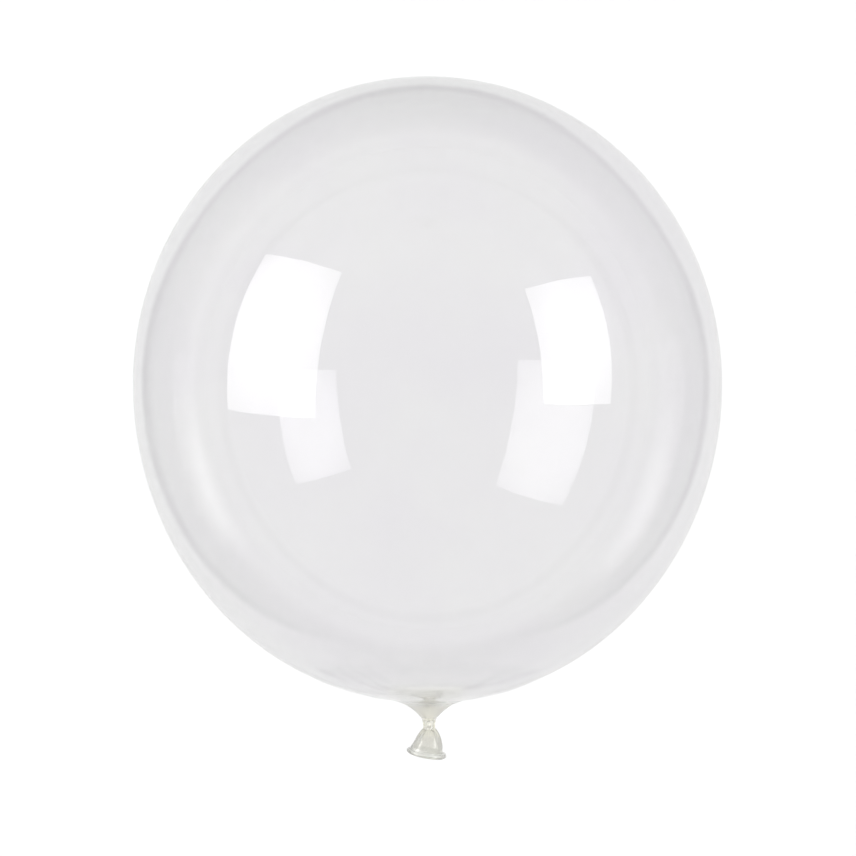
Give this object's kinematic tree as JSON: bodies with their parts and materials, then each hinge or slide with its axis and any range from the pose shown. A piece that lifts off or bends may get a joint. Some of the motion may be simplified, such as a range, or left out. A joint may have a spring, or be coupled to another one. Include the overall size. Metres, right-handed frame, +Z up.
{
  "type": "clear balloon",
  "caption": "Clear inflated balloon with a drawn-in neck, a pleated tail and a rolled lip, lying on its side.",
  "frame": {"origin": "centre of the small flat spot underneath that the balloon rests on", "axes": "+Z up, +Y along the balloon's long axis towards its crown, -Y towards its neck and tail"},
  "size_m": [0.457, 0.5315, 0.4554],
  "materials": {
    "clear_film": "glossy clear rubber film"
  },
  "bodies": {
    "root": {"balloon": "clear_film"}
  },
  "joints": []
}
